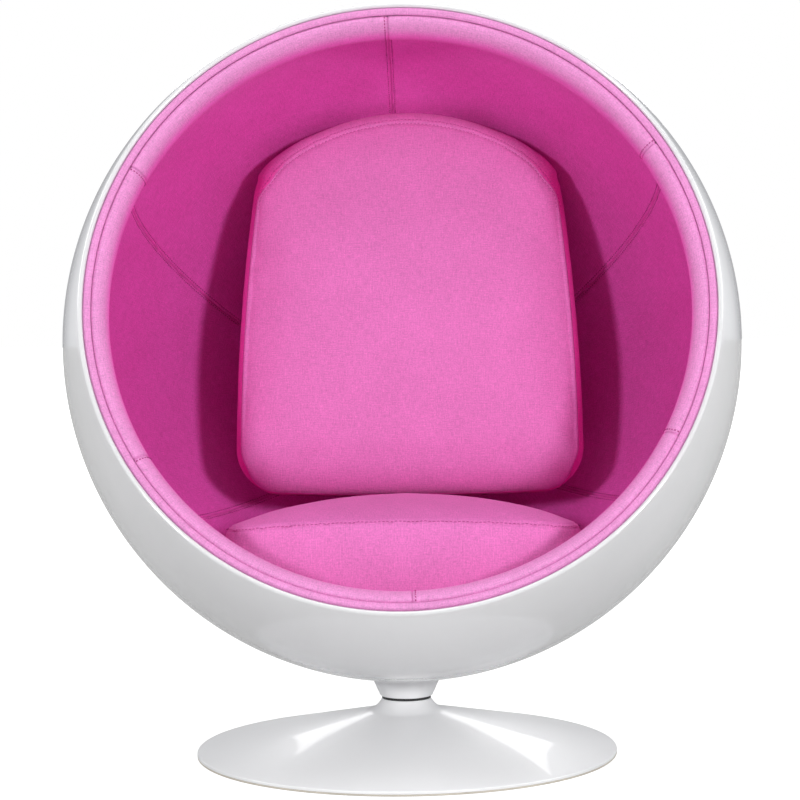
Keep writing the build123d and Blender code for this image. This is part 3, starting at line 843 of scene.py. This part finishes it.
def cloth_moves(points, faces, held, limit):
    """Moves of a mesh as cloth: held at some points, let out a little and blown up by air."""
    mesh = bpy.data.meshes.new("cloth_pass")
    mesh.from_pydata([tuple(p) for p in points], [], faces)
    obj = bpy.data.objects.new("cloth_pass", mesh)
    scene = bpy.context.scene
    scene.collection.objects.link(obj)
    obj.vertex_groups.new(name="seams").add([int(i) for i in held], 1.0, "REPLACE")
    cloth = obj.modifiers.new("air", "CLOTH")
    cloth.point_cache.frame_start, cloth.point_cache.frame_end = 1, CLOTH_FRAMES
    cloth.collision_settings.use_collision = False
    settings = cloth.settings
    settings.quality = 5
    settings.mass = 0.3
    settings.air_damping = 4.0
    settings.tension_stiffness = settings.compression_stiffness = 15
    settings.shear_stiffness = 5
    settings.bending_stiffness = 0.5
    settings.shrink_min = -CLOTH_EXTRA
    settings.use_pressure = True
    settings.uniform_pressure_force = CLOTH_AIR
    settings.effector_weights.gravity = 0.0
    settings.vertex_group_mass = "seams"
    for number in range(1, CLOTH_FRAMES + 1):
        scene.frame_set(number)
    settled = obj.evaluated_get(bpy.context.evaluated_depsgraph_get()).to_mesh()
    moved = np.zeros(len(points) * 3)
    settled.vertices.foreach_get("co", moved)
    scene.frame_set(1)
    bpy.data.objects.remove(obj)
    bpy.data.meshes.remove(mesh)
    moves = moved.reshape(-1, 3) - points
    size = np.linalg.norm(moves, axis=1)[:, None]
    return moves * np.minimum(1, limit / np.maximum(size, 1e-9))


def inflated(rows, poles, seams, limit, free):
    """Rows of a cover after a cloth pass on a coarse copy, moved where it is free."""
    count, cols = rows.shape[:2]
    along = np.mean([lengths(rows[:, j]) for j in range(0, cols, 20)], axis=0)
    wanted = np.arange(0, along[-1], CLOTH_CELL)
    picked = {int(np.abs(along - w).argmin()) for w in wanted} | {0, count - 1}
    picked = [i for i in picked if min(abs(along[i] - along[k]) for k in seams) > 0.6 * CLOTH_CELL]
    picked = sorted([*picked, *seams])
    coarse = rows[picked][:, ::CLOTH_COLUMNS]
    lines, width = coarse.shape[:2]
    faces = cover_faces(lines, width)
    held = np.concatenate([picked.index(k) * width + np.arange(width) for k in seams])
    moves = cloth_moves(np.vstack([coarse.reshape(-1, 3), poles]), faces, held, limit)
    field = moves[:-2].reshape(lines, width, 3)
    field = np.concatenate([field, field[:, :1]], axis=1)
    place, whole = np.arange(cols) / CLOTH_COLUMNS, np.arange(width + 1)
    fine = np.empty_like(rows)
    for k in range(3):
        rising = np.array([np.interp(along, along[picked], column) for column in field[..., k].T])
        fine[..., k] = [np.interp(place, whole, row) for row in rising.T]
    for _ in range(CLOTH_SMOOTHING):
        fine = (np.roll(fine, 1, 1) + 2 * fine + np.roll(fine, -1, 1)) / 4
        fine[1:-1] = (fine[:-2] + 2 * fine[1:-1] + fine[2:]) / 4
    return rows + fine * free[..., None], poles + moves[-2:]


def cover_faces(count, cols):
    """Faces of a cover: rows from the front pole to the rear pole, and the fans that close it."""
    faces = [f[::-1] for f in grid_faces(count, cols, close_cols=True)]
    front_pole, rear_pole = count * cols, count * cols + 1
    for j in range(cols):
        k = (j + 1) % cols
        faces.append((front_pole, j, k))
        faces.append((rear_pole, (count - 1) * cols + k, (count - 1) * cols + j))
    return faces


def rounded_under(distance, radius):
    """Share of a drop that a rounded edge has at a distance from its seam."""
    return 1 - math.sqrt(1 - max(0, 1 - distance / radius) ** 2)


def cushion(name, axes, sizes, fullness, front_lift, foot_drop, swell, resting, sewn_head):
    """Closed cover of one cushion, and the runs that its stitches follow.

    The front lift raises the seam in the middle of the foot, and the foot drop rounds the front panel
    under along it. The swell is how far the cloth pass may move the cover, which stays as it is towards
    the end that rests on, or under, the other cushion: resting gives where along the cushion it starts
    to move and where it is free. A sewn head has topstitched seams and a folded zip boxing, and
    otherwise one row of stitches lies in the front seam.
    """
    origin, ex, ey, ez = axes
    boxing, crown, rear_crown, shoulder_y, outline_sizes = sizes
    half = boxing / 2
    outline, normal, s = cushion_outline(*outline_sizes, SHOULDER_RADIUS)
    soft_line, soft_normal, _ = cushion_outline(*outline_sizes, SEAM_SHOULDER_RADIUS)
    at_foot = ease(-normal[:, 1], *FOOT_TURN)
    at_head = ease(normal[:, 1], *HEAD_TURN)
    rounded = foot_drop > 0
    inset = BOXING_SWELL * (1 - at_foot * rounded) + HEAD_SWELL * at_head * sewn_head
    seam_line = soft_line - soft_normal * inset[:, None]
    middle = np.clip(1 - (outline[:, 0] / (LIFT_SPAN * outline_sizes[0])) ** 2, 0, 1)
    at_side = np.clip(1 - at_foot - at_head, 0, 1) * sewn_head
    seam_share = 1 - (1 - SIDE_SEAM) * at_side
    lifted = half + front_lift * at_foot * middle
    dropped = foot_drop * at_foot + SIDE_DROP * at_side
    reach = np.einsum("ij,ij->i", outline, normal).mean()
    panel, heights = cushion_levels(boxing)
    from_head = np.abs(s - s[outline[:, 1].argmax()])
    from_head = np.minimum(from_head, s[-1] + s[1] - from_head)

    def seam_sink(distance, shift):
        pull = PUCKER * puckers(s + shift) * bump(distance, PUCKER_WIDTH)
        return np.maximum(seam_relief(distance) + pull, -PUCKER_RISE)

    def panel_row(distance, face):
        share = np.clip(1 - distance / reach, 0, 1)
        flat = seam_line * share
        sink = seam_sink(distance, 0.11 * face)
        rise = (1 - share**2) ** fullness
        if face < 0:
            return np.column_stack([flat, -half - rear_crown * rise + sink]), flat
        z = lifted + (half + crown - lifted) * rise
        z = z - foot_drop * at_foot * rounded_under(distance, FOOT_ROUND)
        z = z - SIDE_DROP * at_side * rounded_under(distance, SIDE_ROUND)
        return np.column_stack([flat, z - sink * (1 - at_foot * rounded) * seam_share]), flat

    def boxing_row(height):
        level = 2 * height / boxing
        seam_z = lifted - dropped if height > 0 else half
        bulge = outline + (seam_line - outline) * level**2
        distance = (1 - abs(level)) * seam_z
        past = outline[:, 1] - shoulder_y
        fold = ease(past, -ZIP_EDGE, ZIP_EDGE) * (ZIP_STEP + ZIP_FOLD * (1 - ease(past, *ZIP_FLAT)))
        sink = seam_sink(distance, 0.3)
        offset = fold * ease(distance, *ZIP_SEAM) - sink * (seam_share if height > 0 else 1)
        offset = offset + HEAD_RISE * at_head * sewn_head * (1 - level**2)
        flat = bulge + normal * offset[:, None]
        return np.column_stack([flat, level * (seam_z + 0 * s)])

    rows, uvs = [], []
    for distance in panel[::-1]:
        row, flat = panel_row(distance, 1)
        rows.append(row)
        uvs.append(flat)
    for height in heights[1:-1]:
        rows.append(boxing_row(height))
        uvs.append(np.column_stack([np.full(len(s), height + 1.0), from_head]))
    for distance in panel:
        row, flat = panel_row(distance, -1)
        rows.append(row)
        uvs.append(flat + 2.0)
    rows, uvs = np.array(rows), np.array(uvs)
    poles = np.array([[0, 0, half + crown], [0, 0, -half - rear_crown]])
    front_seam, rear_seam = len(panel) - 1, len(panel) + len(heights) - 2
    free = ease(rows[..., 1], *resting)
    free[front_seam:rear_seam + 1] *= BOXING_SHARE
    rows, poles = inflated(rows, poles, [front_seam, rear_seam], swell, free)

    def place(local):
        world = origin + local[..., 0, None] * ex + local[..., 1, None] * ey + local[..., 2, None] * ez
        away = world - BALL_CENTRE
        far = np.linalg.norm(away, axis=-1)[..., None]
        room = LINING_RADIUS - SOFT_GAP
        return np.where(far > room, BALL_CENTRE + away * room / far, world)

    points = np.vstack([place(rows).reshape(-1, 3), place(poles)])
    uvs = np.vstack([uvs.reshape(-1, 2), [[0, 0], [2, 2]]])
    cover = mesh_object(name, points, cover_faces(*rows.shape[:2]), uvs, cushion_wool)
    # The boxing faces take the deeper pink: painted shade on the cushion's sides and foot
    if sewn_head:
        cover.data.materials.append(boxing_shade_wool)
        for polygon in cover.data.polygons[front_seam * len(s):rear_seam * len(s)]:
            polygon.material_index = 1

    out = normal[:, 0, None] * ex + normal[:, 1, None] * ey
    facing = np.tile(ez, (len(s), 1))
    beside = int(np.abs(panel - STITCH_ROW).argmin())
    if sewn_head:
        head = np.nonzero(normal[:, 1] > HEAD_STITCHED)[0]
        runs = [
            (place(rows[front_seam - beside])[head], facing[head]),
            (place(rows[front_seam + beside])[head], out[head]),
        ]
    else:
        ring = np.append(np.arange(len(s)), 0)
        raised = place(rows[front_seam]) + SEAM_DEPTH * 0.5 * (facing + out)
        runs = [(raised[ring], (facing + out)[ring])]
    return cover, runs


SEAT_TILT = math.radians(4)
SEAT_WIDTH, SEAT_LENGTH, SEAT_BOXING = 0.544, 0.560, 0.120
SEAT_SHOULDER_WIDTH, SEAT_SHOULDER_LENGTH = 0.470, 0.455
SEAT_CROWN, SEAT_UNDERSIDE_CROWN = 0.042, 0.010
SEAT_FRONT = np.array([0, -0.206, 0.370])
BACK_LEAN = math.radians(10)
BACK_WIDTH, BACK_LENGTH, BACK_BOXING = 0.562, 0.626, 0.096
BACK_SHOULDER_WIDTH, BACK_SHOULDER_LENGTH = 0.500, 0.521
BACK_CROWN, BACK_REAR_CROWN = 0.028, 0.012
BACK_FOOT = np.array([0.008, 0.155, 0.3877])

seat_up = np.array([0, math.sin(SEAT_TILT), math.cos(SEAT_TILT)])
seat_rear = np.array([0, math.cos(SEAT_TILT), -math.sin(SEAT_TILT)])
seat_origin = SEAT_FRONT + seat_rear * SEAT_LENGTH / 2 - seat_up * SEAT_BOXING / 2
back_facing = np.array([0, -math.cos(BACK_LEAN), math.sin(BACK_LEAN)])
back_up = np.array([0, math.sin(BACK_LEAN), math.cos(BACK_LEAN)])
back_origin = BACK_FOOT + back_up * BACK_LENGTH / 2

CUSHION_NODES = {
    "seat_cushion": ("foam", "top_panel", "bottom_panel", "boxing", "zip_boxing"),
    "back_cushion": ("foam", "front_panel", "rear_panel", "boxing", "zip_boxing"),
}
seat_outline = (SEAT_WIDTH, SEAT_LENGTH, SEAT_SHOULDER_WIDTH, SEAT_SHOULDER_LENGTH)
seat_shoulder = SEAT_SHOULDER_LENGTH - SEAT_LENGTH / 2
seat_sizes = (SEAT_BOXING, SEAT_CROWN, SEAT_UNDERSIDE_CROWN, seat_shoulder, seat_outline)
back_outline = (BACK_WIDTH, BACK_LENGTH, BACK_SHOULDER_WIDTH, BACK_SHOULDER_LENGTH)
back_shoulder = BACK_SHOULDER_LENGTH - BACK_LENGTH / 2
back_sizes = (BACK_BOXING, BACK_CROWN, BACK_REAR_CROWN, back_shoulder, back_outline)
seat_shape = dict(
    axes=(seat_origin, AXIS_X, seat_rear, seat_up), sizes=seat_sizes, fullness=0.90, front_lift=0.011,
    foot_drop=0.0, swell=0.004, resting=(0.03, -0.05), sewn_head=False,
)
back_shape = dict(
    axes=(back_origin, AXIS_X, back_up, back_facing), sizes=back_sizes, fullness=0.80, front_lift=0.0,
    foot_drop=0.052, swell=0.008, resting=(0.01 - BACK_LENGTH / 2, 0.08 - BACK_LENGTH / 2),
    sewn_head=True,
)
cushions = {"seat_cushion": ("ball", seat_shape), "back_cushion": ("back_cushion", back_shape)}
for name, (body, shape) in cushions.items():
    cover, runs = cushion(f"{name}_cover", **shape)
    finish_piece(cover, body, "cushion_wool", *[f"{name}_{part}" for part in CUSHION_NODES[name]])
    finish_piece(stitches(f"{name}_topstitch", runs, CUSHION_STITCH), body, "cushion_wool")


# Hard pieces that stay as modelled in CAD, with their finishes

KEPT_NODES = {
    "bare_steel": (steel, "weight_plate", "column", "column_gussets", "spindle", "stop_washer",
                   "circlip", "mount_plate", "mount_bolts", "mount_washers"),
    "black_nylon": (nylon, "upper_bush", "lower_bush", "thrust_washer"),
}
for slot, (finish, *nodes) in KEPT_NODES.items():
    for node in nodes:
        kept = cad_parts[node]
        kept.data.materials.clear()
        kept.data.materials.append(finish)


# Stage: floor, light and camera

FLOOR_HALF = 30.0
FLOOR_GREY = (0.64, 0.64, 0.64, 1)
FLOOR_SEEN, FLOOR_MIRRORED = 1.5, 0.50
SHADOW_SPAN = (0.8, 2.4)
SHADOW_GLOW = 0.62
WORLD_COLOUR = (0.95, 0.96, 1.0, 1)
WORLD_LIGHT = 0.12
REAR_SPAN = (0.75, 1.0)
ROOM_MIRRORED, REAR_MIRRORED = 0.88, 0.35


def floor_material():
    """Floor that is white to the eye but for a faint shadow, and pale for the light it returns."""
    made, nodes, links, shader = node_material("studio_floor")
    set_inputs(shader, Base_Color=FLOOR_GREY, Roughness=0.9, Specular_IOR_Level=0.0)
    path = nodes.new("ShaderNodeLightPath")
    camera_ray, glossy_ray = path.outputs["Is Camera Ray"], path.outputs["Is Glossy Ray"]
    glow = nodes.new("ShaderNodeEmission")
    level = weighted(nodes, links, (camera_ray, FLOOR_SEEN), (glossy_ray, FLOOR_MIRRORED))
    links.new(level, glow.inputs["Strength"])
    direct = combine(nodes, links, "MAXIMUM", camera_ray, glossy_ray)
    reach = nodes.new("ShaderNodeVectorMath")
    reach.operation = "LENGTH"
    links.new(nodes.new("ShaderNodeTexCoord").outputs["Object"], reach.inputs[0])
    away = span_of(nodes, links, reach.outputs["Value"], SHADOW_GLOW, 1.0, SHADOW_SPAN)
    mix = nodes.new("ShaderNodeMixShader")
    links.new(combine(nodes, links, "MULTIPLY", direct, away), mix.inputs["Fac"])
    links.new(shader.outputs["BSDF"], mix.inputs[1])
    links.new(glow.outputs["Emission"], mix.inputs[2])
    links.new(mix.outputs["Shader"], nodes["Material Output"].inputs["Surface"])
    return made


floor_uvs = [(0, 0), (1, 0), (1, 1), (0, 1)]
floor_corners = [((2 * u - 1) * FLOOR_HALF, (2 * v - 1) * FLOOR_HALF, 0) for u, v in floor_uvs]
floor = mesh_object("studio_floor", floor_corners, [(0, 1, 2, 3)], floor_uvs, floor_material())


def studio_world():
    """White surround for the eye, a room that is darker at its rear in reflections, and dim light."""
    world = bpy.data.worlds.new("studio")
    world.use_nodes = True
    nodes, links = world.node_tree.nodes, world.node_tree.links
    surround = nodes["Background"]
    set_inputs(surround, Color=WORLD_COLOUR)
    path = nodes.new("ShaderNodeLightPath")
    split = nodes.new("ShaderNodeSeparateXYZ")
    links.new(nodes.new("ShaderNodeTexCoord").outputs["Generated"], split.inputs["Vector"])
    levels = (ROOM_MIRRORED, REAR_MIRRORED)
    room = span_of(nodes, links, split.outputs["Y"], *levels, REAR_SPAN, smooth=True)
    mirrored = combine(nodes, links, "MULTIPLY", path.outputs["Is Glossy Ray"], room)
    links.new(combine(nodes, links, "MAXIMUM", mirrored, WORLD_LIGHT), surround.inputs["Strength"])
    seen = nodes.new("ShaderNodeBackground")
    set_inputs(seen, Color=(1, 1, 1, 1))
    mix = nodes.new("ShaderNodeMixShader")
    links.new(path.outputs["Is Camera Ray"], mix.inputs["Fac"])
    links.new(surround.outputs["Background"], mix.inputs[1])
    links.new(seen.outputs["Background"], mix.inputs[2])
    links.new(mix.outputs["Shader"], nodes["World Output"].inputs["Surface"])
    bpy.context.scene.world = world


def softbox(name, place, target, size, power):
    """Square area light aimed at a point."""
    light = bpy.data.lights.new(name, "AREA")
    light.shape = "SQUARE"
    light.size = size
    light.energy = power
    obj = bpy.data.objects.new(name, light)
    obj.location = place
    obj.rotation_euler = (Vector(target) - Vector(place)).to_track_quat("-Z", "Y").to_euler()
    bpy.context.scene.collection.objects.link(obj)


# Place, target, size and power
SOFTBOXES = {
    "softbox_front_left": ((-1.7, -3.3, 1.25), (0, 0, 0.65), 0.4, 49),
    "softbox_front_right": ((1.7, -3.3, 1.25), (0, 0, 0.65), 0.4, 63),
    "softbox_left": ((-3.2, 0.1, 2.2), (0, 0, 0.5), 1.6, 47),
    "softbox_right": ((3.2, 0.1, 2.2), (0, 0, 0.5), 1.6, 54),
    "softbox_top": ((0, -1.1, 3.3), (0, -0.05, 0.45), 1.4, 28),
    "softbox_rear": ((0, 3.2, 1.9), (0, 0, 0.5), 1.6, 38),
}
studio_world()
for name, setting in SOFTBOXES.items():
    softbox(name, *setting)

# Camera fitted to the photo: its focal length and shift are in widths of the picture
CAMERA_DISTANCE = 3.5
CAMERA_HEIGHT = 0.709
CAMERA_TURN = math.radians(0.88)
CAMERA_PITCH = math.radians(2.64)
CAMERA_ROLL = math.radians(-0.70)
CAMERA_FOCUS = 2261 / 800
CAMERA_SHIFT = -2.9 / 800

lens = bpy.data.cameras.new("photo_camera")
lens.sensor_width = 36
lens.lens = CAMERA_FOCUS * lens.sensor_width
lens.shift_x = CAMERA_SHIFT
lens.clip_end = 200
camera = bpy.data.objects.new("photo_camera", lens)
right = Vector((math.cos(CAMERA_TURN), math.sin(CAMERA_TURN), 0))
level = Vector((-math.sin(CAMERA_TURN), math.cos(CAMERA_TURN), 0))
ahead = level * math.cos(CAMERA_PITCH) - Vector((0, 0, math.sin(CAMERA_PITCH)))
above = level * math.sin(CAMERA_PITCH) + Vector((0, 0, math.cos(CAMERA_PITCH)))
side = right * math.cos(CAMERA_ROLL) + above * math.sin(CAMERA_ROLL)
up = above * math.cos(CAMERA_ROLL) - right * math.sin(CAMERA_ROLL)
turn = Matrix((side, up, -ahead)).transposed().to_4x4()
eye = Vector((0, 0, CAMERA_HEIGHT)) - level * CAMERA_DISTANCE
camera.matrix_world = Matrix.Translation(eye) @ turn
bpy.context.scene.collection.objects.link(camera)
bpy.context.scene.camera = camera

bpy.context.scene.view_settings.view_transform = "Standard"
